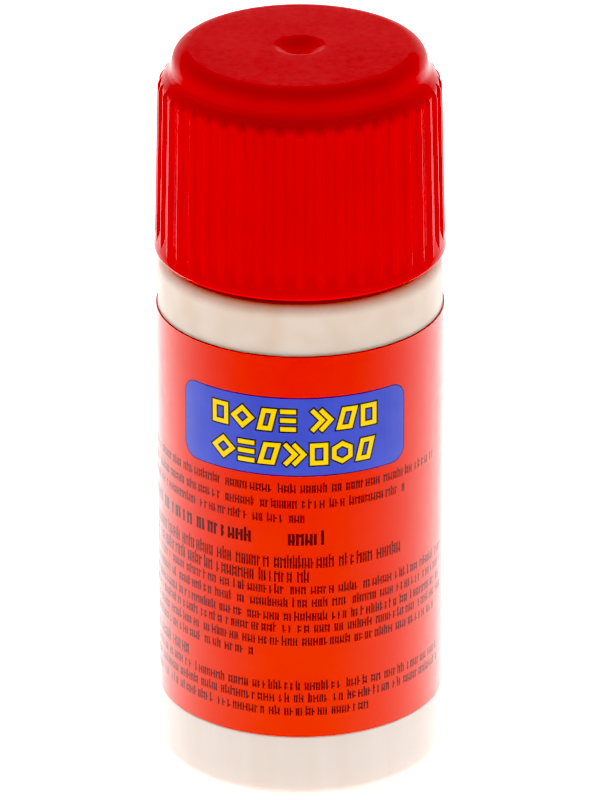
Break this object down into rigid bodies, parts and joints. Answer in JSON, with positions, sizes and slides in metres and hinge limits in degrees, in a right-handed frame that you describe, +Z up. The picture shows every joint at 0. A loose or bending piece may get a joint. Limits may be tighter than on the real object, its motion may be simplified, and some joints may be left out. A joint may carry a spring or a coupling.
{
  "type": "glue applicator bottle",
  "caption": "Small round plastic glue bottle with a wrap label and a ribbed screw cap that carries a brush on a stem.",
  "frame": {"origin": "on the bottle's axis, at the level of the surface it stands on", "axes": "+Z up along the bottle's axis, -Y out of the front of the label, +X to the right of the front"},
  "size_m": [0.0232, 0.0232, 0.0607],
  "materials": {
    "bottle": "translucent satin polyethylene",
    "label": "glossy orange-red print",
    "cap": "saturated red moulded polypropylene, satin crown and glossy ribs",
    "wiper": "natural soft polyethylene",
    "liner": "white foam",
    "stem": "white moulded plastic",
    "bristles": "natural nylon filament",
    "anchor": "flat brass wire",
    "glue": "clear amber liquid"
  },
  "bodies": {
    "bottle": {"bottle": "bottle", "wrap_label": "label", "neck_wiper": "wiper", "glue_fill": "glue"},
    "liner": {"cap_liner": "liner"},
    "cap": {"cap_shell": "cap", "brush_stem": "stem", "bristle_tuft": "bristles", "tuft_anchor": "anchor"}
  },
  "joints": [
    {"name": "cap_lift", "type": "slide", "parent": "bottle", "child": "liner", "axis": [0, 0, 1], "range_m": [0, 0.05716]},
    {"name": "cap_turn", "type": "hinge", "parent": "liner", "child": "cap", "pos_m": [0, 0, 0.0586], "axis": [0, 0, 1], "range_deg": [0, 6480]}
  ],
  "couplings": [
    {"joint": "cap_lift", "follows": "cap_turn", "m_per_rad": 0.00050532}
  ]
}
